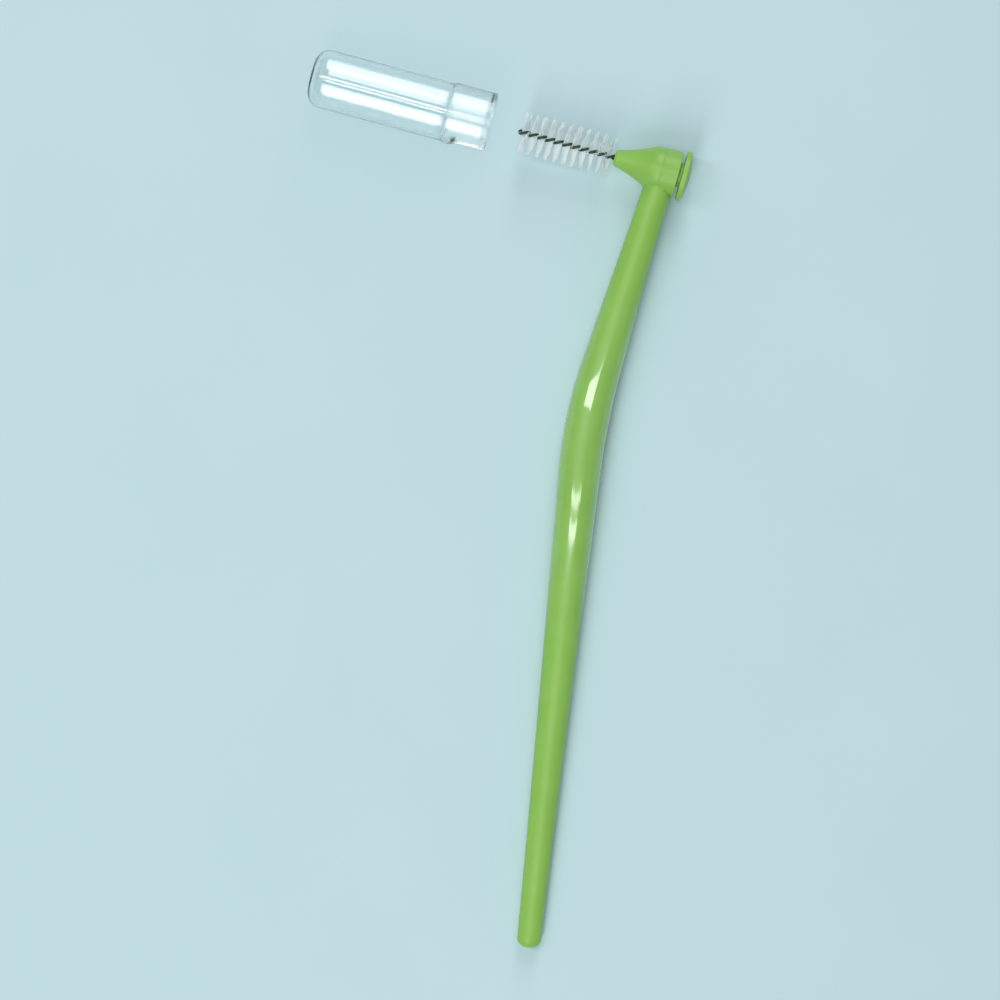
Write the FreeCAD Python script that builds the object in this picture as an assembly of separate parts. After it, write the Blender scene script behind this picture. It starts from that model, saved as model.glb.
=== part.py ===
import FreeCAD, Part
import os
from math import asin, ceil, cos, degrees, pi, radians, sin

# An angled interdental brush and its clear protective cap, in millimetres, lying on a table.
# The origin is on the wire's axis in the front face of the stop disc. +X runs back along the wire,
# the handle runs towards -Y, and +Z is up. The cap is drawn off forwards, in line with the wire.

Vector = FreeCAD.Vector
centre_of_frame = Vector(0, 0, 0)
wire_axis = Vector(1, 0, 0)

# Fits and cuts
overrun = 1.0
moulded_gap = 0.02
core_gap = 0.01
filament_gap = 0.02
slide_gap = 0.08
slot_gap = 0.35
seat_gap = 0.05

# Head, turned about the wire's axis: nose, hollow flare, shoulder, band, groove and stop disc
nose_radius = 1.15
nose_bevel = 0.25
flare_length = 4.9
flare_radius = 2.8
flare_hollow = 0.15
shoulder_length = 1.8
shoulder_bulge = 0.115
band_length = 2.55
band_radius = 3.2
groove_width = 0.5
groove_radius = 1.7
disc_proud = 0.3
disc_rim = 0.7
disc_dome = 0.5
disc_bevel = 0.12

# Handle: an oval neck, a swelling grip at the bend and a slim tapering shank
neck_width = 4.05
neck_thickness = 4.0
neck_step = 0.4
grip_width = 6.05
grip_thickness = 6.6
tail_width = 3.3
tail_thickness = 3.0
tail_round = 1.2
tail_round_limit_share = 0.45
tail_round_steps = 3
upper_length = 36.6
lower_length = 75.0
bend_reach = 7.6
neck_lean = radians(1.8)
shank_lean = radians(9.1)

# Places along each run, as shares of it from the bend, and how much of the grip's swell is left there
upper_shares = (
    (0.07, 0.97), (0.14, 0.90), (0.21, 0.81), (0.33, 0.65), (0.45, 0.48),
    (0.57, 0.31), (0.69, 0.16), (0.82, 0.05), (1.00, 0.00),
)
lower_shares = (
    (0.033, 0.995), (0.067, 0.98), (0.10, 0.955), (0.18, 0.87), (0.28, 0.73),
    (0.40, 0.575), (0.55, 0.41), (0.70, 0.26), (0.85, 0.125),
)

# Wire: a coated steel hairpin, folded at the tip and twisted left-handed
core_radius = 0.13
coating_wall = 0.05
twist_pitch = 2.54
wire_exposed = 14.0
root_depth = 4.0
turn_runs = 10
fold_runs = 6
coating_sides = 8
core_sides = 6

# Filaments, gripped between the two strands
bristle_radius = 3.0
filament_width = 0.06
tip_bare = 0.5
head_bare = 0.4
bristle_rows = 11
row_filaments = 12

# Protective cap
cap_wall = 0.6
lip_height = 0.27
collar_proud = 0.2
collar_ring = 0.75
cap_end_round = 2.0
tip_room = 1.65
cap_rest_gap = 4.0

# Sizes that follow from the ones above
disc_radius = band_radius + disc_proud
head_length = flare_length + shoulder_length + band_length + groove_width
nose_x = -head_length
strand_radius = core_radius + core_gap + coating_wall
twist_room = filament_width / 2 * strand_radius * 2 * pi / twist_pitch
strand_offset = strand_radius + filament_width / 2 + twist_room + filament_gap
wire_radius = strand_offset + strand_radius
tip_x = nose_x - wire_exposed
fold_x = tip_x + wire_radius
root_x = nose_x + root_depth
neck_x = -(groove_width + neck_step + neck_width / 2)
lip_radius = max(band_radius, bristle_radius) + slide_gap
cap_bore_radius = lip_radius + lip_height
cap_radius = cap_bore_radius + cap_wall
collar_radius = cap_radius + collar_proud
slot_width = neck_thickness + 2 * slot_gap
slot_depth = groove_width + neck_step + neck_width + slot_gap
collar_length = slot_depth + collar_ring
cap_length = head_length + wire_exposed + tip_room + cap_wall
cap_travel = head_length + wire_exposed + cap_rest_gap
tail_drop = upper_length * cos(neck_lean) + lower_length * cos(shank_lean)
rest_tilt = asin((collar_radius - tail_thickness / 2) / (tail_drop - tail_round))


def line(start, end):
    return Part.LineSegment(start, end).toShape()


def bowed(start, end, bow):
    """Arc from start to end in the XY plane whose middle stands off the chord by bow, to the left."""
    chord = end - start
    aside = Vector(-chord.y, chord.x, 0).normalize()
    return Part.Arc(start, (start + end) / 2 + aside * bow, end).toShape()


def quarter_round(start, corner, end):
    """Quarter circle from start to end inside the square corner between them."""
    middle = corner + (start + end - corner * 2) * (1 - cos(pi / 4))
    return Part.Arc(start, middle, end).toShape()


def turned(edges):
    """Solid of revolution about the wire's axis of a closed chain of edges in the XY plane."""
    return Part.Face(Part.Wire(edges)).revolve(centre_of_frame, wire_axis, 360)


def head():
    """Nose, flare, shoulder, band, groove and domed stop disc as one turned form."""
    shoulder_x = nose_x + flare_length
    band_x = shoulder_x + shoulder_length
    back_x = disc_rim + disc_dome
    dome_radius = disc_radius - disc_bevel
    ball_radius = (dome_radius ** 2 + disc_dome ** 2) / (2 * disc_dome)
    half_reach = asin(dome_radius / ball_radius) / 2
    nose_centre = Vector(nose_x, 0, 0)
    nose_rim = Vector(nose_x, nose_radius - nose_bevel, 0)
    flare_start = Vector(nose_x + nose_bevel, nose_radius, 0)
    flare_end = Vector(shoulder_x, flare_radius, 0)
    band_start = Vector(band_x, band_radius, 0)
    band_end = Vector(-groove_width, band_radius, 0)
    groove_front = Vector(-groove_width, groove_radius, 0)
    groove_back = Vector(0, groove_radius, 0)
    disc_front = Vector(0, disc_radius, 0)
    rim_end = Vector(disc_rim - disc_bevel, disc_radius, 0)
    dome_edge = Vector(disc_rim, dome_radius, 0)
    dome_middle = Vector(back_x - ball_radius * (1 - cos(half_reach)), ball_radius * sin(half_reach), 0)
    dome_top = Vector(back_x, 0, 0)
    return turned([
        line(nose_centre, nose_rim),
        line(nose_rim, flare_start),
        bowed(flare_start, flare_end, -flare_hollow),
        bowed(flare_end, band_start, shoulder_bulge),
        line(band_start, band_end),
        line(band_end, groove_front),
        line(groove_front, groove_back),
        line(groove_back, disc_front),
        line(disc_front, rim_end),
        line(rim_end, dome_edge),
        Part.Arc(dome_edge, dome_middle, dome_top).toShape(),
        line(dome_top, nose_centre),
    ])


def shank_point(place):
    """Centre and downward way of the handle at a place counted from the bend, + up and - down.

    The two straight runs meet in a parabola that starts and ends bend_reach from their corner.
    """
    up_way = Vector(sin(neck_lean), cos(neck_lean), 0)
    down_way = Vector(sin(shank_lean), -cos(shank_lean), 0)
    corner = Vector(neck_x, 0, 0) - up_way * upper_length
    if place >= bend_reach:
        return corner + up_way * place, up_way * -1
    if place <= -bend_reach:
        return corner + down_way * -place, down_way
    share = (bend_reach - place) / (2 * bend_reach)
    start = corner + up_way * bend_reach
    end = corner + down_way * bend_reach
    centre = start * (1 - share) ** 2 + corner * (2 * share * (1 - share)) + end * share ** 2
    way = (corner - start) * (1 - share) + (end - corner) * share
    return centre, way.normalize()


def oval(place, width, thickness):
    """Ellipse square to the handle, width in the handle's plane and thickness across it, in four arcs."""
    centre, way = shank_point(place)
    aside = Vector(-way.y, way.x, 0) * (width / 2)
    spread = FreeCAD.Matrix(
        aside.x, 0, way.x, centre.x,
        aside.y, 0, way.y, centre.y,
        0, thickness / 2, 0, 0,
    )
    unit_circle = Part.Circle(centre_of_frame, Vector(0, 0, 1), 1)
    quarters = [Part.ArcOfCircle(unit_circle, k * pi / 2, (k + 1) * pi / 2).toShape() for k in range(4)]
    return Part.Wire([quarter.transformGeometry(spread) for quarter in quarters])


def swelling(end_size, grip_size, share):
    return end_size + (grip_size - end_size) * share


def shank():
    """Oval bar from the wire's axis down past the bend to the round end of the tail."""
    ovals = [
        oval(share * upper_length, swelling(neck_width, grip_width, swell_share),
             swelling(neck_thickness, grip_thickness, swell_share))
        for share, swell_share in reversed(upper_shares)
    ]
    ovals.append(oval(0, grip_width, grip_thickness))
    ovals.extend(
        oval(-share * lower_length, swelling(tail_width, grip_width, swell_share),
             swelling(tail_thickness, grip_thickness, swell_share))
        for share, swell_share in lower_shares
    )
    end_round = min(tail_round, min(tail_width, tail_thickness) * tail_round_limit_share)
    for step in range(tail_round_steps + 1):
        angle = step / tail_round_steps * pi / 2
        inset = 2 * end_round * (1 - cos(angle))
        place = end_round * (1 - sin(angle)) - lower_length
        ovals.append(oval(place, tail_width - inset, tail_thickness - inset))
    return Part.makeLoft(ovals, True, True)


def handle():
    """Head and handle as one moulding, with the blind hole that the twisted wire fills."""
    hole_radius = wire_radius + moulded_gap
    hole_depth = root_depth + strand_radius + moulded_gap
    hole = Part.makeCylinder(hole_radius, hole_depth + overrun, Vector(nose_x - overrun, 0, 0), wire_axis)
    return head().fuse(shank()).cut(hole)


def around(angle, radius):
    """Offset square to the wire's axis at an angle counted from +Y towards +Z."""
    return Vector(0, radius * cos(angle), radius * sin(angle))


def twist_angle(x):
    """Turn of the first strand about the wire's axis, counted from its root."""
    return 2 * pi * (root_x - x) / twist_pitch


def hairpin():
    """Points along the wire: one strand up to the tip, the fold, and the other strand back."""
    runs = ceil((root_x - fold_x) / twist_pitch * turn_runs)
    places = [root_x - (root_x - fold_x) * run / runs for run in range(runs + 1)]
    up = [Vector(x, 0, 0) + around(twist_angle(x), strand_offset) for x in places]
    fold_angles = [pi * run / fold_runs for run in range(1, fold_runs)]
    fold = [
        Vector(fold_x - strand_offset * sin(angle), 0, 0)
        + around(twist_angle(fold_x), strand_offset * cos(angle))
        for angle in fold_angles
    ]
    down = [Vector(point.x, -point.y, -point.z) for point in reversed(up)]
    return up + fold + down


def mitred_rings(radius, sides):
    """Rings of corners along the hairpin, each carried straight to the plane that halves the next bend."""
    points = hairpin()
    ways = [(end - start).normalize() for start, end in zip(points, points[1:])]
    facing = FreeCAD.Rotation(Vector(0, 0, 1), ways[0])
    angles = [2 * pi * corner / sides for corner in range(sides)]
    flat_ring = [Vector(radius * cos(angle), radius * sin(angle), 0) for angle in angles]
    ring = [points[0] + facing.multVec(corner) for corner in flat_ring]
    rings = [ring]
    for point, way, next_way in zip(points[1:], ways, ways[1:] + ways[-1:]):
        normal = way + next_way
        ring = [corner + way * ((point - corner).dot(normal) / way.dot(normal)) for corner in ring]
        rings.append(ring)
    return rings


def closed_outline(corners):
    return Part.makePolygon(corners + corners[:1])


def side_faces(rings):
    """Flat faces between each ring of corners and the next."""
    return [
        Part.Face(closed_outline([ring[side - 1], ring[side], after[side], after[side - 1]]))
        for ring, after in zip(rings, rings[1:])
        for side in range(len(ring))
    ]


def solid_of(faces):
    shell = Part.Shell(faces)
    shell.sewShape()
    return Part.Solid(shell)


def wire_core():
    """Steel wire, bare at its two ends inside the head."""
    rings = mitred_rings(core_radius, core_sides)
    ends = [Part.Face(closed_outline(ring)) for ring in (rings[0], rings[-1])]
    return solid_of(side_faces(rings) + ends)


def wire_coating():
    """Plastic sleeve that follows the steel from end to end."""
    outside = mitred_rings(strand_radius, coating_sides)
    inside = mitred_rings(core_radius + core_gap, core_sides)
    ends = [Part.Face([closed_outline(outside[k]), closed_outline(inside[k])]) for k in (0, -1)]
    return solid_of(side_faces(outside) + side_faces(inside) + ends)


def filament(x):
    """Straight nylon thread through the wire's axis, square to it and between the two strands."""
    half = filament_width / 2
    corner = Vector(-half, -bristle_radius, -half)
    thread = Part.makeBox(filament_width, 2 * bristle_radius, filament_width, corner)
    turn = degrees(twist_angle(x) + pi / 2)
    return thread.rotated(centre_of_frame, wire_axis, turn).translated(Vector(x, 0, 0))


def bristle_row(row):
    """One row of filaments, counted from the tip."""
    bristle_length = wire_exposed - tip_bare - head_bare
    spacing = bristle_length / (bristle_rows * row_filaments)
    first = tip_x + tip_bare + spacing / 2
    places = range(row * row_filaments, (row + 1) * row_filaments)
    return Part.makeCompound([filament(first + spacing * place) for place in places])


def cap_shell():
    """Closed tube with a collar outside its mouth and a stop lip inside it, where it seats."""
    mouth_x = -seat_gap
    end_x = mouth_x - cap_length
    floor_x = end_x + cap_wall
    collar_x = mouth_x - collar_length
    lip_x = mouth_x - groove_width
    floor_bevel = max(cap_end_round - cap_wall, cap_wall)
    end_rim = Vector(end_x, cap_radius - cap_end_round, 0)
    tube_start = Vector(end_x + cap_end_round, cap_radius, 0)
    floor_rim = Vector(floor_x, cap_bore_radius - floor_bevel, 0)
    corners = [
        tube_start,
        Vector(collar_x, cap_radius, 0),
        Vector(collar_x, collar_radius, 0),
        Vector(mouth_x, collar_radius, 0),
        Vector(mouth_x, lip_radius, 0),
        Vector(lip_x, lip_radius, 0),
        Vector(lip_x, cap_bore_radius, 0),
        Vector(floor_x + floor_bevel, cap_bore_radius, 0),
        floor_rim,
    ]
    return turned([
        line(Vector(end_x, 0, 0), end_rim),
        quarter_round(end_rim, Vector(end_x, cap_radius, 0), tube_start),
        *[line(start, end) for start, end in zip(corners, corners[1:])],
        line(floor_rim, Vector(floor_x, 0, 0)),
        line(Vector(floor_x, 0, 0), Vector(end_x, 0, 0)),
    ])


def neck_slot():
    """Cutter for the slot that lets the neck pass, open at the mouth and round at its inner end."""
    half = slot_width / 2
    turn_x = half - slot_depth
    far_side = Vector(turn_x, 0, half)
    near_side = Vector(turn_x, 0, -half)
    far_mouth = Vector(overrun, 0, half)
    near_mouth = Vector(overrun, 0, -half)
    outline = [
        line(far_mouth, far_side),
        Part.Arc(far_side, Vector(-slot_depth, 0, 0), near_side).toShape(),
        line(near_side, near_mouth),
        line(near_mouth, far_mouth),
    ]
    return Part.Face(Part.Wire(outline)).extrude(Vector(0, -collar_radius - overrun, 0))


def protective_cap():
    """Slotted cap, drawn forwards off the head until its mouth is clear of the wire's tip."""
    return cap_shell().cut(neck_slot()).translated(Vector(-cap_travel, 0, 0))


def export(shape, name):
    """Roll the shape about the wire's axis until the tail lies on the table beside the cap, and save it."""
    shape.rotated(centre_of_frame, wire_axis, degrees(rest_tilt)).exportStep(f"parts/{name}.step")


os.makedirs("parts", exist_ok=True)
export(handle(), "handle")
export(wire_core(), "wire_core")
export(wire_coating(), "wire_coating")
for row in range(bristle_rows):
    export(bristle_row(row), f"bristle_row_{row + 1:02d}")
export(protective_cap(), "protective_cap")
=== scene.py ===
from math import asin, cos, pi, radians, sin

import bpy
import numpy as np
from mathutils import Matrix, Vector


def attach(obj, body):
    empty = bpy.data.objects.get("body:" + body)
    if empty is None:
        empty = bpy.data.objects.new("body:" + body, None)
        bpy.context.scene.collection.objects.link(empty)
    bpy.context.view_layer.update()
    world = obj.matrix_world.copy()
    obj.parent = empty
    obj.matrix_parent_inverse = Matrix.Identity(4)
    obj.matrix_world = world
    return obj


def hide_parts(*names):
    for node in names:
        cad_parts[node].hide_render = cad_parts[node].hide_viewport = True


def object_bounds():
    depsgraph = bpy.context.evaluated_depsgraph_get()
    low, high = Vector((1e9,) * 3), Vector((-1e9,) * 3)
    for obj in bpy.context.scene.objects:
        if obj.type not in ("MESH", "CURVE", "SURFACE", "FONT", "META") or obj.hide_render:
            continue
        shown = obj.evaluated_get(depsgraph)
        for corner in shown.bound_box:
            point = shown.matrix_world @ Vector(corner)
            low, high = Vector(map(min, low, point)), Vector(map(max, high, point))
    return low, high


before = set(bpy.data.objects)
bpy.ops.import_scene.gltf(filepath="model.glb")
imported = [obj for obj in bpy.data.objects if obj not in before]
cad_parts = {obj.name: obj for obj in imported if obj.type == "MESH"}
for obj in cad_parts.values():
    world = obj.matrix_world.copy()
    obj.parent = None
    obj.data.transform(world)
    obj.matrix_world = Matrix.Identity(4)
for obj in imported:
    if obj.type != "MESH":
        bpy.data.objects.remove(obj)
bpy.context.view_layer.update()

# Handle
# One satin moulding of green polypropylene, from the turned head that grips the wire to the round tail.
# The mould parts in the handle's own plane, which leaves a hair-fine line all the way round the piece.
nose_radius = 0.00115
nose_bevel = 0.00025
flare_length = 0.0049
flare_radius = 0.0028
flare_hollow = 0.00015
shoulder_length = 0.0018
shoulder_bulge = 0.000115
band_length = 0.00255
band_radius = 0.0032
groove_width = 0.0005
groove_radius = 0.0017
disc_radius = 0.0035
disc_rim = 0.0007
disc_dome = 0.0005
band_ridge_height = 0.000025
band_ridge_width = 0.00012
outline_step = 0.00006
edge_softness = 0.00006
bell_reach = 3
arc_points = 24
dome_points = 40

neck_width = 0.00405
neck_thickness = 0.0040
neck_step = 0.0004
neck_shift = 0.0003
neck_flare = 0.00012
neck_flare_reach = 0.0005
neck_ridge_height = 0.00004
neck_ridge_place = 0.00042
neck_ridge_width = 0.0001
grip_width = 0.00605
grip_thickness = 0.0066
tail_width = 0.0033
tail_thickness = 0.0030
tail_round = 0.0012
upper_length = 0.0366
lower_length = 0.0750
bend_reach = 0.0076
neck_lean = radians(1.8)
shank_lean = radians(9.1)
upper_shares = (1.00, 0.82, 0.69, 0.57, 0.45, 0.33, 0.21, 0.14, 0.07)
upper_swell_shares = (0.00, 0.05, 0.16, 0.31, 0.48, 0.65, 0.81, 0.90, 0.97)
lower_shares = (0.033, 0.067, 0.10, 0.18, 0.28, 0.40, 0.55, 0.70, 0.85, 1.00)
lower_swell_shares = (0.995, 0.98, 0.955, 0.87, 0.73, 0.575, 0.41, 0.26, 0.125, 0.00)

parting_height = 0.000022
parting_width = 0.00006
handle_columns = 112
crowding_share = 0.8
neck_start_share = 1 / 3
neck_end_share = 1.5
neck_row_count = 90
shank_row_count = 150
tail_row_count = 12
seam_merge = 0.0000003
sharp_crease = radians(28)

dull_green, fresh_green = (139, 191, 80), (146, 197, 88)
green_cloud_scale, green_cloud_detail = 260, 3
green_cloud_range = (0.3, 0.7)
grain_scale, grain_detail = 5200, 2
grain_strength = 0.12
grain_depth = 0.00003
satin_roughness = (0.36, 0.42)
green_index = 1.49
green_glow_share = 0.12
green_glow_tint = (0.6, 1.0, 0.4)
green_glow_depth = 0.001
grip_polish_y = -0.041
grip_polish_reach = 0.012
grip_polish_fade = 0.028
grip_polish_roughness = 0.05
grip_polish_index = 1.6

head_length = flare_length + shoulder_length + band_length + groove_width
nose_x = -head_length
neck_x = -(groove_width + neck_step + neck_width / 2)
collar_radius = 0.00435
tail_drop = upper_length * cos(neck_lean) + lower_length * cos(shank_lean)
rest_tilt = asin((collar_radius - tail_thickness / 2) / (tail_drop - tail_round))


def laid_down(points):
    """Points turned about the wire's axis by the tilt at which the tail rests on the table."""
    turn = np.array([[1, 0, 0], [0, cos(rest_tilt), sin(rest_tilt)], [0, -sin(rest_tilt), cos(rest_tilt)]])
    return points @ turn


def meshed(name, points, faces):
    """New smooth object of points and faces, laid down on the table."""
    mesh = bpy.data.meshes.new(name)
    mesh.from_pydata(laid_down(points).tolist(), [], faces)
    mesh.shade_smooth()
    piece = bpy.data.objects.new(name, mesh)
    bpy.context.scene.collection.objects.link(piece)
    return piece


def skinned(name, tubes):
    """Object of closed tubes. tubes[t, k, j] is point j of ring k of tube t, counted right-handed along it.

    Neighbouring rings are joined by quads, and the first and last ring each by a fan to their middle.
    """
    tube_count, ring_count, around, _ = tubes.shape
    middles = tubes[:, [0, -1]].mean(axis=2)
    points = np.concatenate([tubes.reshape(-1, 3), middles.reshape(-1, 3)])
    here = np.arange(tube_count * ring_count * around).reshape(tube_count, ring_count, around)
    beside = np.roll(here, -1, axis=2)
    sides = np.stack([here[:, :-1], beside[:, :-1], beside[:, 1:], here[:, 1:]], axis=-1)
    first = np.broadcast_to(here.size + 2 * np.arange(tube_count)[:, None], (tube_count, around))
    start_fan = np.stack([beside[:, 0], here[:, 0], first], axis=-1)
    end_fan = np.stack([here[:, -1], beside[:, -1], first + 1], axis=-1)
    fans = np.concatenate([start_fan.reshape(-1, 3), end_fan.reshape(-1, 3)])
    return meshed(name, points, sides.reshape(-1, 4).tolist() + fans.tolist())


def bow(start, end, height):
    """Points of the circular arc from start to end whose middle stands height left of its chord."""
    start, end = np.array(start), np.array(end)
    half = np.hypot(*(end - start)) / 2
    radius = (half ** 2 + height ** 2) / (2 * height)
    spread = np.linspace(-1, 1, arc_points) * asin(half / radius)
    along = (end - start) / (2 * half)
    aside = np.array([-along[1], along[0]])
    rise = radius * np.cos(spread) - radius + height
    return (start + end) / 2 + np.outer(radius * np.sin(spread), along) + np.outer(rise, aside)


def softened(outline, step, softness):
    """Outline walked in even steps and averaged with a bell of that softness, which rounds its corners.

    It starts and ends on the axis, and is mirrored there so that the average keeps it closed.
    """
    reach = np.concatenate([[0], np.cumsum(np.hypot(*np.diff(outline, axis=0).T))])
    walk = np.linspace(0, reach[-1], round(reach[-1] / step))
    even = np.stack([np.interp(walk, reach, outline[:, 0]), np.interp(walk, reach, outline[:, 1])], axis=1)
    half = round(bell_reach * softness / step)
    bell = np.exp(-0.5 * (np.arange(-half, half + 1) * step / softness) ** 2)
    bell /= bell.sum()
    mirror = np.array([1, -1])
    padded = np.concatenate([even[half:0:-1] * mirror, even, even[-2:-half - 2:-1] * mirror])
    return np.stack([np.convolve(padded[:, axis], bell, "valid") for axis in (0, 1)], axis=1)


def ridge(distance, height, width):
    """Height of a fine ridge at a distance from its crest, falling off as a bell."""
    return height * np.exp(-(distance / width) ** 2)


def crowded_angles(count):
    """Angles round a section, closer together at 0 and half a turn, where the parting line runs."""
    even = np.arange(count) * 2 * pi / count
    return even - crowding_share / 2 * np.sin(2 * even)


def head_outline():
    """Half outline of the head from the nose to the domed back of the stop disc, as distance and radius.

    A fine ridge marks where the shoulder runs into the band.
    """
    shoulder_x = nose_x + flare_length
    band_x = shoulder_x + shoulder_length
    ball_radius = (disc_radius ** 2 + disc_dome ** 2) / (2 * disc_dome)
    reach = np.linspace(asin(disc_radius / ball_radius), 0, dome_points)
    dome_x = disc_rim + disc_dome - ball_radius * (1 - np.cos(reach))
    outline = np.concatenate([
        [(nose_x, 0), (nose_x, nose_radius - nose_bevel)],
        bow((nose_x + nose_bevel, nose_radius), (shoulder_x, flare_radius), -flare_hollow),
        bow((shoulder_x, flare_radius), (band_x, band_radius), shoulder_bulge),
        [(-groove_width, band_radius), (-groove_width, groove_radius)],
        [(0, groove_radius), (0, disc_radius)],
        np.stack([dome_x, ball_radius * np.sin(reach)], axis=1),
    ])
    outline = softened(outline, outline_step, edge_softness)
    outline[:, 1] += ridge(outline[:, 0] - band_x, band_ridge_height, band_ridge_width)
    return outline


def head_rings():
    """Head outline turned about the wire's axis, with the parting line along its two sides."""
    x, radius = head_outline()[1:-1].T[:, :, None]
    angle = crowded_angles(handle_columns)
    fade = np.clip(radius / nose_radius, 0, 1)
    radius = radius + fade * ridge(radius * np.sin(angle), parting_height, parting_width)
    return np.stack([x + 0 * radius, radius * np.cos(angle), radius * np.sin(angle)], axis=-1)


def smooth_through(at, places, values):
    """Cubic curve through the values at rising places, with the slope at each from its neighbours."""
    slopes = np.gradient(values, places)
    k = np.clip(np.searchsorted(places, at) - 1, 0, len(places) - 2)
    gap = places[k + 1] - places[k]
    t = np.clip((at - places[k]) / gap, 0, 1)
    return (
        values[k] * (1 + 2 * t) * (1 - t) ** 2 + values[k + 1] * t * t * (3 - 2 * t)
        + gap * (slopes[k] * t * (1 - t) ** 2 + slopes[k + 1] * t * t * (t - 1))
    )


def shank_line(place):
    """Centres and downward ways of the handle at places counted from the bend, + up and - down.

    The two straight runs meet in a parabola that starts and ends bend_reach from their corner.
    """
    up_way = np.array([sin(neck_lean), cos(neck_lean), 0])
    down_way = np.array([sin(shank_lean), -cos(shank_lean), 0])
    corner = np.array([neck_x, 0, 0]) - up_way * upper_length
    share = np.clip((bend_reach - place) / (2 * bend_reach), 0, 1)[:, None]
    above = np.maximum(place - bend_reach, 0)[:, None]
    below = np.maximum(-place - bend_reach, 0)[:, None]
    curve = corner + bend_reach * ((1 - share) ** 2 * up_way + share ** 2 * down_way)
    way = down_way * share - up_way * (1 - share)
    return curve + above * up_way + below * down_way, way / np.linalg.norm(way, axis=1)[:, None]


def neck_swell(points, out):
    """Outward swell of the neck's skin close under the head, by its distance from the head's surface.

    On the nose side it flares as a parabola, and on the disc side it carries a fine ridge.
    """
    outline = head_outline()
    front = outline[:, 0] <= -groove_width
    head_radius = np.interp(points[..., 0], outline[front, 0], outline[front, 1])
    clear = -points[..., 1] - np.sqrt(np.maximum(head_radius ** 2 - points[..., 2] ** 2, 0))
    flare = neck_flare * (1 - np.clip(clear / neck_flare_reach, 0, 1)) ** 2 * (1 - out[0]) / 2
    disc_side = np.clip(1 / 2 + out[0], 0, 1)
    return flare + disc_side * ridge(clear - neck_ridge_place, neck_ridge_height, neck_ridge_width)


def shank_rings():
    """Oval section carried from inside the head down past the bend to the round end of the tail.

    Above the bend it moves over to the disc's side as the square of its height.
    """
    neck_start = upper_length - neck_start_share * band_radius
    neck_end = upper_length - neck_end_share * band_radius
    neck_rows = np.linspace(neck_start, neck_end, neck_row_count)
    shank_rows = np.linspace(neck_end, tail_round - lower_length, shank_row_count)[1:]
    end_turn = np.linspace(0, pi / 2, tail_row_count)[1:]
    end_rows = tail_round * (1 - np.sin(end_turn)) - lower_length
    place = np.concatenate([neck_rows, shank_rows, end_rows])
    inset = np.zeros_like(place)
    inset[-len(end_rows):] = tail_round * (1 - np.cos(end_turn))
    lower_places = -lower_length * np.array(lower_shares[::-1])
    upper_places = upper_length * np.array(upper_shares[::-1])
    places = np.concatenate([lower_places, [0], upper_places])
    swells = np.array([*lower_swell_shares[::-1], 1, *upper_swell_shares[::-1]])
    swell = smooth_through(place, places, swells)
    end_width = np.where(place > 0, neck_width, tail_width)
    end_thickness = np.where(place > 0, neck_thickness, tail_thickness)
    half_width = (end_width + (grip_width - end_width) * swell) / 2 - inset
    half_thickness = (end_thickness + (grip_thickness - end_thickness) * swell) / 2 - inset
    centre, way = shank_line(place)
    centre[:, 0] += neck_shift * np.clip(place / upper_length, 0, 1) ** 2
    angle = crowded_angles(handle_columns)
    out = np.stack([np.cos(angle), np.sin(angle)])
    rise = half_thickness[:, None] * out[1]
    spread = half_width[:, None] * out[0] + np.sign(out[0]) * ridge(rise, parting_height, parting_width)
    aside = np.stack([-way[:, 1], way[:, 0], np.zeros_like(place)], axis=1)
    points = centre[:, None] + spread[:, :, None] * aside[:, None] + rise[:, :, None] * np.array([0, 0, 1])
    swelling = neck_swell(points, out)
    points[..., 0] += swelling * out[0]
    points[..., 2] += swelling * out[1]
    return points


def node_material(name):
    """New material, its surface shader, and functions that add a node and that fill a node's sockets.

    A socket is linked where it is given another node's output, and otherwise set to the value given.
    """
    material = bpy.data.materials.new(name)
    material.use_nodes = True
    tree = material.node_tree

    def fill(node, inputs):
        for socket, source in inputs.items():
            if isinstance(source, bpy.types.NodeSocket):
                tree.links.new(source, node.inputs[socket])
            else:
                node.inputs[socket].default_value = source

    def add(kind, inputs, **settings):
        node = tree.nodes.new(kind)
        for setting, value in settings.items():
            setattr(node, setting, value)
        fill(node, inputs)
        return node.outputs

    return material, tree.nodes["Principled BSDF"], add, fill


def colour(red, green, blue):
    """Linear colour of screen values from 0 to 255, by the sRGB curve."""
    screen = np.array([red, green, blue]) / 255
    linear = np.where(screen <= 0.04045, screen / 12.92, ((screen + 0.055) / 1.055) ** 2.4)
    return (*linear.tolist(), 1)


def blended(add, share, first, second):
    """Colour that runs from the first to the second as the share runs from 0 to 1."""
    # A mix node takes its two colours at sockets 6 and 7, and gives their mix at output 2.
    return add("ShaderNodeMix", {0: share, 6: colour(*first), 7: colour(*second)}, data_type="RGBA")[2]


def clouds(add, place, scale, detail):
    """Soft noise about 0.5 at a place, with scale the number of clouds to a metre."""
    return add("ShaderNodeTexNoise", {"Vector": place, "Scale": scale, "Detail": detail})["Fac"]


def ranged(add, value, wanted, given=(0, 1), kind="LINEAR"):
    """Value carried from the given range to the wanted one, and held at its ends."""
    ends = {"From Min": given[0], "From Max": given[1], "To Min": wanted[0], "To Max": wanted[1]}
    return add("ShaderNodeMapRange", {"Value": value, **ends}, interpolation_type=kind)["Result"]


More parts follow.
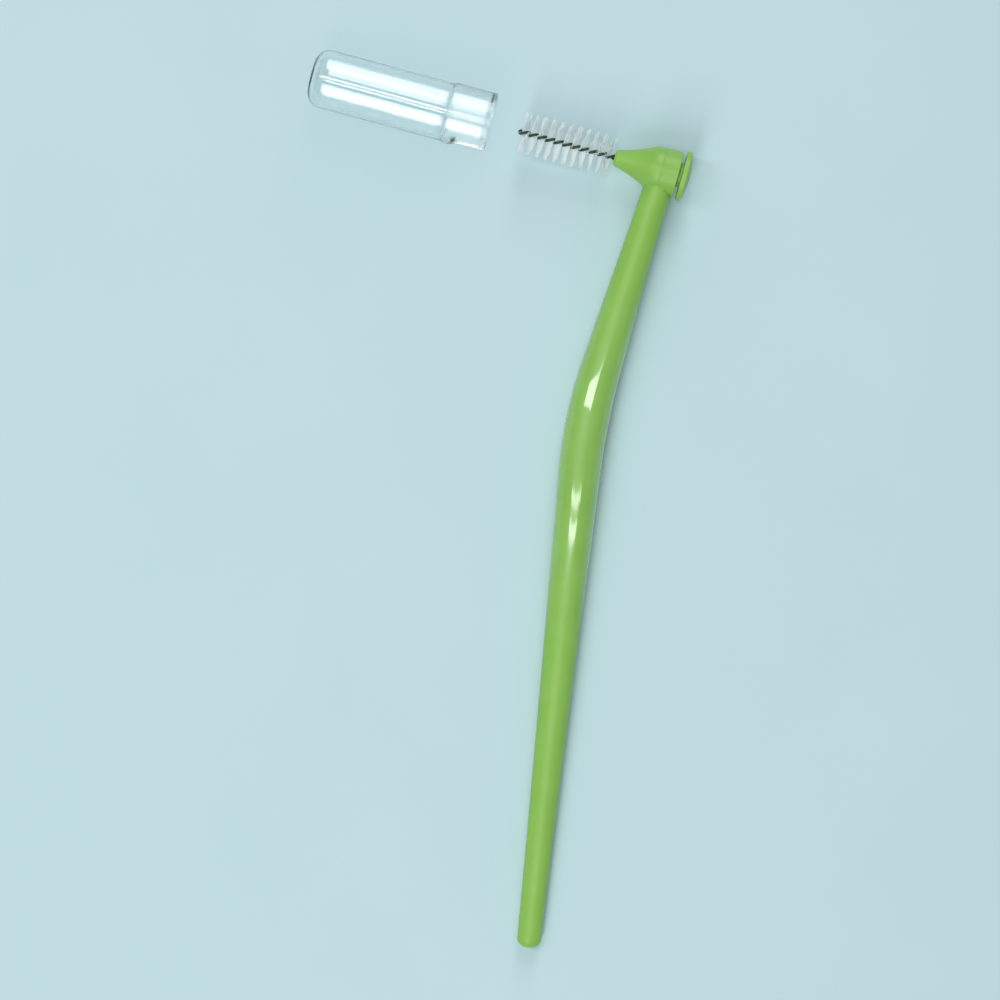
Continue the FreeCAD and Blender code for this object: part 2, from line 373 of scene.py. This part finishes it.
def satin_green():
    """Green polypropylene, cloudy by a hair, with the fine grain of the mould and a polished grip.

    The polish falls as a smooth step with the distance in Y from the middle of the grip.
    """
    material, shader, add, fill = node_material("satin_green_plastic")
    place = add("ShaderNodeTexCoord", {})["Object"]
    cloud = clouds(add, place, green_cloud_scale, green_cloud_detail)
    tone = ranged(add, cloud, (0, 1), given=green_cloud_range)
    grain = clouds(add, place, grain_scale, grain_detail)
    bumps = {"Height": grain, "Strength": grain_strength, "Distance": grain_depth}
    y = add("ShaderNodeSeparateXYZ", {"Vector": place})["Y"]
    from_grip = add("ShaderNodeMath", {0: y, 1: -grip_polish_y}, operation="ADD")[0]
    off_grip = add("ShaderNodeMath", {0: from_grip}, operation="ABSOLUTE")[0]
    polish_ends = (grip_polish_reach, grip_polish_fade)
    fill(shader, {
        "Base Color": blended(add, tone, dull_green, fresh_green),
        "Roughness": ranged(add, tone, satin_roughness),
        "Normal": add("ShaderNodeBump", bumps)["Normal"],
        "IOR": green_index,
        "Coat Weight": ranged(add, off_grip, (1, 0), given=polish_ends, kind="SMOOTHSTEP"),
        "Coat Roughness": grip_polish_roughness,
        "Coat IOR": grip_polish_index,
        "Subsurface Weight": green_glow_share,
        "Subsurface Radius": green_glow_tint,
        "Subsurface Scale": green_glow_depth,
    })
    return material


handle = skinned("green_handle", head_rings()[None])
shank = skinned("shank", shank_rings()[None])
joint = handle.modifiers.new("one_moulding", "BOOLEAN")
joint.operation = "UNION"
joint.solver = "EXACT"
joint.object = shank
weld = handle.modifiers.new("clean_seam", "WELD")
weld.merge_threshold = seam_merge
moulding = bpy.data.meshes.new_from_object(handle.evaluated_get(bpy.context.evaluated_depsgraph_get()))
handle.modifiers.clear()
handle.data = moulding
bpy.data.objects.remove(shank)
moulding.set_sharp_from_angle(angle=sharp_crease)
moulding.materials.append(satin_green())
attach(handle, "brush")
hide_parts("handle")

# Wire
# A hairpin of fine stainless wire in a dark green plastic coat, folded at the tip and twisted left-handed.
# Its root is moulded into the nose of the head.
strand_radius = 0.00019
strand_offset = 0.0002541
twist_pitch = 0.00254
wire_exposed = 0.0140
root_depth = 0.0040
turn_rings = 28
fold_rings = 10
strand_sides = 12
dark_green, mid_green = (8, 42, 31), (20, 84, 60)
coat_cloud_scale, coat_cloud_detail = 1800, 3
coat_roughness = (0.28, 0.45)
steel_grey = (200, 202, 204)
drawn_line_scales, drawn_line_detail = (300, 6000, 6000), 2
steel_roughness = (0.2, 0.4)

wire_tip_x = nose_x - wire_exposed
root_x = nose_x + root_depth
fold_x = wire_tip_x + strand_radius + strand_offset


def twist_angle(x):
    """Turn of the first strand about the wire's axis, from +Y towards +Z, counted from its root."""
    return 2 * pi * (root_x - x) / twist_pitch


def wire_rings():
    """Round section carried up one strand of the twist, over the fold and down the other strand.

    A strand is a helix, and in the fold its distance from the axis falls as a cosine while it turns on.
    The second strand is the first one turned by half a turn about the axis.
    """
    ring_count = round((root_x - fold_x) / twist_pitch * turn_rings)
    fold = np.linspace(0, pi / 2, fold_rings)
    climb = np.linspace(root_x, fold_x, ring_count)[:-1]
    x = np.concatenate([climb, fold_x - strand_offset * np.sin(fold)])
    offset = np.concatenate([np.full(ring_count - 1, strand_offset), strand_offset * np.cos(fold)])
    angle = twist_angle(x)
    up = np.stack([x, offset * np.cos(angle), offset * np.sin(angle)], axis=1)
    back = up[-2::-1] * np.array([1, -1, -1])
    line = np.concatenate([up, back])
    angle = np.concatenate([angle, angle[-2::-1]])
    way = np.gradient(line, axis=0)
    way /= np.linalg.norm(way, axis=1)[:, None]
    across = np.stack([0 * angle, -np.sin(angle), np.cos(angle)], axis=1)
    across -= (across * way).sum(axis=1)[:, None] * way
    across /= np.linalg.norm(across, axis=1)[:, None]
    third = np.cross(way, across)
    round_angle = np.arange(strand_sides) * 2 * pi / strand_sides
    ring = across[:, None] * np.cos(round_angle)[:, None] + third[:, None] * np.sin(round_angle)[:, None]
    return line[:, None] + strand_radius * ring


def dark_coat():
    """Near-black green plastic skin, a little uneven in tone and gloss."""
    material, shader, add, fill = node_material("dark_wire_coat")
    place = add("ShaderNodeTexCoord", {})["Object"]
    cloud = clouds(add, place, coat_cloud_scale, coat_cloud_detail)
    fill(shader, {
        "Base Color": blended(add, cloud, dark_green, mid_green),
        "Roughness": ranged(add, cloud, coat_roughness),
    })
    return material


def drawn_steel():
    """Bare stainless wire with fine lines along the way it was drawn."""
    material, shader, add, fill = node_material("drawn_steel")
    place = add("ShaderNodeTexCoord", {})["Object"]
    stretched = add("ShaderNodeMapping", {"Vector": place, "Scale": drawn_line_scales})["Vector"]
    lines = clouds(add, stretched, 1, drawn_line_detail)
    fill(shader, {
        "Base Color": colour(*steel_grey),
        "Metallic": 1,
        "Roughness": ranged(add, lines, steel_roughness),
    })
    return material


wire = skinned("coated_wire", wire_rings()[None])
wire.data.materials.append(dark_coat())
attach(wire, "brush")
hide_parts("wire_coating")
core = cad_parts["wire_core"]
core.data.materials.clear()
core.data.materials.append(drawn_steel())

# Bristles
# Cut nylon filaments, gripped between the two strands, so that the twist fans them out into rows.
# Each row is one half turn of the wire; the rows at the tip and at the head stand less tidily.
bristle_radius = 0.0030
filament_radius = 0.000036
tip_bare = 0.0005
head_bare = 0.0004
bristle_rows = 11
row_filaments = 34
filament_sides = 5
filament_stations = np.array([-1, -0.7, -0.35, 0, 0.35, 0.7, 1])
gather_share = 0.42
side_gather_share = 0.4
gather_power = 0.75
place_jitter_share = 0.4
shortening_share = 0.04
stray_lean = 0.00005
stray_curl = 0.00007
stray_turn = radians(4)
stray_rows = (0, 1, 2, 8, 9, 10)
stray_row_shares = (2.2, 1.3, 1.0, 1.0, 1.6, 2.8)
row_strays = np.interp(np.arange(bristle_rows), stray_rows, stray_row_shares)
bristle_seed = 11
dull_white, bright_white = (234, 245, 245), (252, 254, 254)
nylon_roughness = (0.25, 0.4)
nylon_index = 1.53
chance = np.random.default_rng(bristle_seed)


def filament_tubes(row):
    """Threads of one row, each carried straight through the axis and bent a little by chance.

    A thread stands at a right angle to the strands where it is gripped. With a power of the distance from
    the axis, its two arms lean and turn to the middle of the row, which gathers the row into a tuft.
    """
    spacing = (wire_exposed - tip_bare - head_bare) / (bristle_rows * row_filaments)
    first = wire_tip_x + tip_bare + spacing * (row * row_filaments + 1 / 2)
    jitter = chance.uniform(-place_jitter_share, place_jitter_share, row_filaments)
    x = first + spacing * (np.arange(row_filaments) + jitter)
    stray = row_strays[row]
    angle = twist_angle(x) + pi / 2
    stray_angle = angle + chance.normal(0, stray_turn * stray, row_filaments)
    reach = bristle_radius * (1 - shortening_share * chance.random((row_filaments, 1)))
    share = filament_stations
    lean, side_lean = chance.normal(0, stray_lean * stray, (2, row_filaments, 1))
    curls = chance.normal(0, stray_curl * stray, (2, 2, row_filaments, 1))
    curl, side_curl = np.where(share < 0, curls[0], curls[1])
    pull = np.abs(share) ** gather_power
    along = x[:, None] + gather_share * (x.mean() - x)[:, None] * pull + lean * share + curl * share ** 2
    turn = stray_angle[:, None] + side_gather_share * (angle.mean() - angle)[:, None] * pull
    aside = side_lean * share + side_curl * share ** 2
    out = np.stack([0 * turn, np.cos(turn), np.sin(turn)], axis=-1)
    across = np.stack([0 * turn, -np.sin(turn), np.cos(turn)], axis=-1)
    forward = np.array([1, 0, 0])
    line = along[..., None] * forward + (reach * share)[..., None] * out + aside[..., None] * across
    round_angle = (np.arange(filament_sides) * 2 * pi / filament_sides)[:, None]
    ring = across[:, :, None] * np.cos(round_angle) + forward * np.sin(round_angle)
    return line[:, :, None] + filament_radius * ring


def clear_nylon():
    """Whitish nylon, each thread a shade brighter or duller than its neighbours."""
    material, shader, add, fill = node_material("clear_nylon")
    tone = add("ShaderNodeAttribute", {}, attribute_name="thread_tone")["Fac"]
    fill(shader, {
        "Base Color": blended(add, tone, dull_white, bright_white),
        "Roughness": ranged(add, tone, nylon_roughness),
        "IOR": nylon_index,
    })
    return material


nylon = clear_nylon()
for row in range(bristle_rows):
    tuft = skinned(f"bristles_{row + 1:02d}", filament_tubes(row))
    tones = chance.random(row_filaments)
    ring_points = len(filament_stations) * filament_sides
    tone_of_point = np.concatenate([np.repeat(tones, ring_points), np.repeat(tones, 2)])
    shade = tuft.data.attributes.new("thread_tone", "FLOAT", "POINT")
    shade.data.foreach_set("value", tone_of_point.astype(np.float32))
    tuft.data.materials.append(nylon)
    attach(tuft, "brush")
    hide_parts(f"bristle_row_{row + 1:02d}")

# Protective cap
# A thin clear moulding, closed at one end, that keeps the bristles clean. Its stout collar is slotted to
# pass the neck, and a low lip inside the mouth runs over the head's band. It is shown drawn off forwards.
cap_wall = 0.0006
cap_bore_radius = 0.00355
lip_radius = 0.00328
collar_length = 0.00605
cap_end_round = 0.0020
cap_length = 0.0260
cap_rest_gap = 0.0040
seat_gap = 0.00005
slot_width = 0.0047
slot_depth = 0.0053
closed_slot = 0.00000015
cap_edge = 0.00015
cap_columns = 144
edge_row_count = 7
slot_end_row_count = 20
slot_side_row_count = 8
tube_row_count = 14
collar_row_count = 5
end_row_count = 12
hub_shares = (0.04, 0.35, 0.7)
cap_crease = radians(35)
cap_tint, cap_shadow_tint = (250, 253, 253), (249, 251, 251)
cap_roughness, collar_roughness = 0.1, 0.2
cap_wave_scales, cap_wave_detail = (160, 620, 620), 2
cap_wave_strength = 0.25
cap_wave_depth = 0.00006
cap_index = 1.49

cap_radius = cap_bore_radius + cap_wall
cap_travel = head_length + wire_exposed + cap_rest_gap
mouth_x = -seat_gap
cap_end_x = mouth_x - cap_length
collar_x = mouth_x - collar_length
lip_x = mouth_x - groove_width
half_slot = slot_width / 2
slot_turn_x = half_slot - slot_depth


def ease(value):
    """Smooth step from 0 to 1: three times the square less twice the cube."""
    value = np.clip(value, 0, 1)
    return value * value * (3 - 2 * value)


def cap_rows():
    """Places and radii of the cap's rows, outside and inside, and how many of them the slot crosses.

    The collar, the lip and the mouth's edges are eased over a small edge length; both ends are domed.
    """
    edge = np.linspace(0, 1, edge_row_count)
    slot_end = slot_turn_x - half_slot * np.sin(np.linspace(pi / 2, 0, slot_end_row_count))
    slotted = np.concatenate([
        slot_end,
        np.linspace(slot_turn_x, lip_x - 2 * cap_edge, slot_side_row_count)[1:-1],
        lip_x - 2 * cap_edge + 4 * cap_edge * edge,
        mouth_x - cap_edge * np.cos(edge * pi / 2),
    ])
    plain = np.concatenate([
        np.linspace(cap_end_x + cap_end_round, collar_x - cap_edge, tube_row_count)[1:],
        collar_x - cap_edge + 2 * cap_edge * edge[1:],
        np.linspace(collar_x + cap_edge, slot_end[0], collar_row_count)[1:-1],
    ])
    along = np.concatenate([plain, slotted])
    past_edge = np.maximum(along - mouth_x + cap_edge, 0)
    rounding = cap_edge - np.sqrt(np.maximum(cap_edge ** 2 - past_edge ** 2, 0))
    collar_rise = ease((along - collar_x + cap_edge) / (2 * cap_edge))
    lip_rise = ease((along - lip_x + 2 * cap_edge) / (4 * cap_edge))
    outer = cap_radius + (collar_radius - cap_radius) * collar_rise - rounding
    inner = cap_bore_radius + (lip_radius - cap_bore_radius) * lip_rise + rounding
    dome = np.linspace(0, pi / 2, end_row_count)
    floor_round = cap_end_round - cap_wall
    floor_x = cap_end_x + cap_wall
    rim = cap_radius - cap_end_round
    hub = rim * np.array(hub_shares)
    outside_x = np.concatenate([cap_end_x + 0 * hub, cap_end_x + cap_end_round * (1 - np.cos(dome)), along])
    outside_r = np.concatenate([hub, rim + cap_end_round * np.sin(dome), outer])
    inside_x = np.concatenate([floor_x + 0 * hub, floor_x + floor_round * (1 - np.cos(dome)), along])
    inside_r = np.concatenate([hub, rim + floor_round * np.sin(dome), inner])
    return (outside_x, outside_r), (inside_x, inside_r), len(slotted)


def cap_piece(name):
    """Cap as one closed surface: rows run up the outside from the closed end to the mouth and back inside.

    A row's points run round from one edge of the slot to the other, so that the slot is left open where
    the row crosses it and the two edges meet where it doesn't. Its side walls join outside and inside.
    """
    outside, inside, slotted_count = cap_rows()
    row_x = np.concatenate([outside[0], inside[0][::-1]])[:, None]
    row_r = np.concatenate([outside[1], inside[1][::-1]])[:, None]
    round_end = np.sqrt(np.maximum(half_slot ** 2 - (row_x - slot_turn_x) ** 2, 0))
    opening = np.where(row_x >= slot_turn_x, half_slot, np.where(round_end < closed_slot, 0, round_end))
    start = np.arcsin(opening / np.maximum(row_r, half_slot))
    angle = start + (2 * pi - 2 * start) * np.linspace(0, 1, cap_columns + 1)
    x = row_x - cap_travel + 0 * angle
    points = np.stack([x, -row_r * np.cos(angle), -row_r * np.sin(angle)], axis=-1)
    row_count = len(row_x)
    here = np.arange(angle.size).reshape(angle.shape)
    sides = np.stack([here[:-1, :-1], here[:-1, 1:], here[1:, 1:], here[1:, :-1]], axis=-1).reshape(-1, 4)
    out_rows = np.arange(row_count // 2 - slotted_count, row_count // 2)
    in_rows = row_count - 1 - out_rows
    out_step, out_next, in_step, in_next = out_rows[:-1], out_rows[1:], in_rows[:-1], in_rows[1:]
    near, far = here[:, 0], here[:, -1]
    near_wall = np.stack([near[out_step], near[out_next], near[in_next], near[in_step]], axis=-1)
    far_wall = np.stack([far[in_step], far[in_next], far[out_next], far[out_step]], axis=-1)
    ends = [here[0, -2::-1].tolist(), here[-1, :-1].tolist()]
    return meshed(name, points.reshape(-1, 3), np.concatenate([sides, near_wall, far_wall]).tolist() + ends)


def clear_plastic():
    """Clear polypropylene with the faint waviness of a thin moulding; the collar has a frosted mould face.

    Light from the lamps passes straight through it, so that it throws a pale shadow.
    """
    material, shader, add, fill = node_material("clear_cap_plastic")
    place = add("ShaderNodeTexCoord", {})["Object"]
    x = add("ShaderNodeSeparateXYZ", {"Vector": place})["X"]
    collar_start = collar_x - cap_travel
    collar_edges = (collar_start - cap_edge, collar_start + cap_edge)
    stretched = add("ShaderNodeMapping", {"Vector": place, "Scale": cap_wave_scales})["Vector"]
    wave = clouds(add, stretched, 1, cap_wave_detail)
    bumps = {"Height": wave, "Strength": cap_wave_strength, "Distance": cap_wave_depth}
    fill(shader, {
        "Base Color": colour(*cap_tint),
        "Roughness": ranged(add, x, (cap_roughness, collar_roughness), given=collar_edges),
        "Normal": add("ShaderNodeBump", bumps)["Normal"],
        "Transmission Weight": 1,
        "IOR": cap_index,
    })
    ray = add("ShaderNodeLightPath", {})
    lit_rays = {0: ray["Is Shadow Ray"], 1: ray["Is Diffuse Ray"]}
    lit_share = add("ShaderNodeMath", lit_rays, operation="MAXIMUM")[0]
    lit_through = add("ShaderNodeBsdfTransparent", {"Color": colour(*cap_shadow_tint)})["BSDF"]
    mixed = add("ShaderNodeMixShader", {0: lit_share, 1: shader.outputs["BSDF"], 2: lit_through})["Shader"]
    fill(material.node_tree.nodes["Material Output"], {"Surface": mixed})
    return material


cap = cap_piece("clear_cap")
cap.data.set_sharp_from_angle(angle=cap_crease)
cap.data.materials.append(clear_plastic())
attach(cap, "cap")
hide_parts("protective_cap")

# Table
# A plain pale matt table top, on which the handle's tail and the cap's collar lie.
# Well away from the brush it keeps one even tone, so that a low view has a plain background.
table_side = 6.0
table_shade, table_light = (196, 222, 228), (200, 225, 231)
table_cloud_scale, table_cloud_detail = 40, 2
table_roughness = 0.9
table_sheen = 0.1
even_tone = (193, 218, 225)
even_from, even_past = 0.12, 0.4


def pale_table():
    """Pale table whose tone turns even as a smooth step with the distance from its middle.

    The even tone shows where the table is looked at, in a reflection or through the cap.
    """
    material, shader, add, fill = node_material("pale_table")
    place = add("ShaderNodeTexCoord", {})["Object"]
    cloud = clouds(add, place, table_cloud_scale, table_cloud_detail)
    fill(shader, {
        "Base Color": blended(add, cloud, table_shade, table_light),
        "Roughness": table_roughness,
        "Specular IOR Level": table_sheen,
    })
    away = add("ShaderNodeVectorMath", {0: place}, operation="LENGTH")["Value"]
    even = ranged(add, away, (0, 1), given=(even_from, even_past), kind="SMOOTHSTEP")
    ray = add("ShaderNodeLightPath", {})
    turned_rays = {0: ray["Is Glossy Ray"], 1: ray["Is Transmission Ray"]}
    turned = add("ShaderNodeMath", turned_rays, operation="MAXIMUM")[0]
    looked_at = add("ShaderNodeMath", {0: ray["Is Camera Ray"], 1: turned}, operation="MAXIMUM")[0]
    share = add("ShaderNodeMath", {0: even, 1: looked_at}, operation="MULTIPLY")[0]
    plain = add("ShaderNodeEmission", {"Color": colour(*even_tone)})["Emission"]
    mixed = add("ShaderNodeMixShader", {0: share, 1: shader.outputs["BSDF"], 2: plain})["Shader"]
    fill(material.node_tree.nodes["Material Output"], {"Surface": mixed})
    material.cycles.emission_sampling = "NONE"
    return material


low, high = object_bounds()
middle = (low + high) / 2
bpy.ops.mesh.primitive_plane_add(size=table_side, location=(middle.x, middle.y, low.z))
table = bpy.context.object
table.name = "table_top"
table.data.materials.append(pale_table())

# Camera and lamps
# The camera looks straight down, turned a little against the wire, and takes in the whole part.
# Two soft boxes give the cap its white bands, and three thin strips the highlights on the grip.
photo_roll = radians(15.2)
frame_fill_share = 0.9
lens_mm = 120.0
sensor_mm = 36.0
lamp_distance = 0.7
cap_run = (cos(photo_roll), -sin(photo_roll))
upper_run = (0.24, 0.97)
lower_run = (0.11, 0.99)
box_sides = (0.18, 0.50)
room_tint = (226, 236, 240)
room_strength = 0.34


def points_of(mesh):
    """All the points of a mesh, one to a row."""
    points = np.empty(3 * len(mesh.vertices), np.float32)
    mesh.vertices.foreach_get("co", points)
    return points.reshape(-1, 3)


corners = np.concatenate([points_of(node.data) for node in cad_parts.values()])
right = np.array([cos(photo_roll), sin(photo_roll), 0])
up = np.array([-sin(photo_roll), cos(photo_roll), 0])
spans = [corners @ way for way in (right, up)]
aim = (right * (spans[0].min() + spans[0].max()) + up * (spans[1].min() + spans[1].max())) / 2
reach = max(np.ptp(span) for span in spans)
camera_data = bpy.data.cameras.new("photo_camera")
camera_data.lens = lens_mm
camera_data.sensor_width = sensor_mm
camera = bpy.data.objects.new("photo_camera", camera_data)
camera.location = aim + np.array([0, 0, reach / frame_fill_share * lens_mm / sensor_mm])
camera.rotation_euler = (0, 0, photo_roll)
bpy.context.scene.collection.objects.link(camera)
bpy.context.scene.camera = camera


def soft_box(name, towards, along, sides, power):
    """Rectangular lamp that faces the object from a way given as right, up and towards the camera.

    along is the way its first side runs, as right and up.
    """
    picture = np.stack([right, up, [0, 0, 1]])
    facing = np.array(towards) @ picture
    facing /= np.linalg.norm(facing)
    first = np.array([*along, 0]) @ picture
    first -= first @ facing * facing
    first /= np.linalg.norm(first)
    data = bpy.data.lights.new(name, "AREA")
    data.shape = "RECTANGLE"
    data.size, data.size_y = sides
    data.energy = power
    lamp = bpy.data.objects.new(name, data)
    lamp.location = aim + facing * lamp_distance
    lamp.rotation_euler = Matrix(np.stack([first, np.cross(facing, first), facing], axis=1)).to_euler()
    lamp.visible_camera = False
    bpy.context.scene.collection.objects.link(lamp)


soft_box("far_box", towards=(0.13, 0.85, 0.52), along=cap_run, sides=box_sides, power=1.5)
soft_box("near_box", towards=(-0.27, -0.64, 0.73), along=cap_run, sides=box_sides, power=1.8)
soft_box("upper_strip", towards=(-0.27, 0.148, 0.95), along=upper_run, sides=(0.06, 0.6), power=1.1)
soft_box("middle_strip", towards=(-0.10, -0.092, 0.99), along=lower_run, sides=(0.009, 0.75), power=0.22)
soft_box("lower_strip", towards=(-0.10, -0.121, 0.985), along=lower_run, sides=(0.012, 0.6), power=0.24)
world = bpy.data.worlds.new("studio")
world.use_nodes = True
room = world.node_tree.nodes["Background"].inputs
room["Color"].default_value = colour(*room_tint)
room["Strength"].default_value = room_strength
bpy.context.scene.world = world
bpy.context.scene.view_settings.view_transform = "Standard"
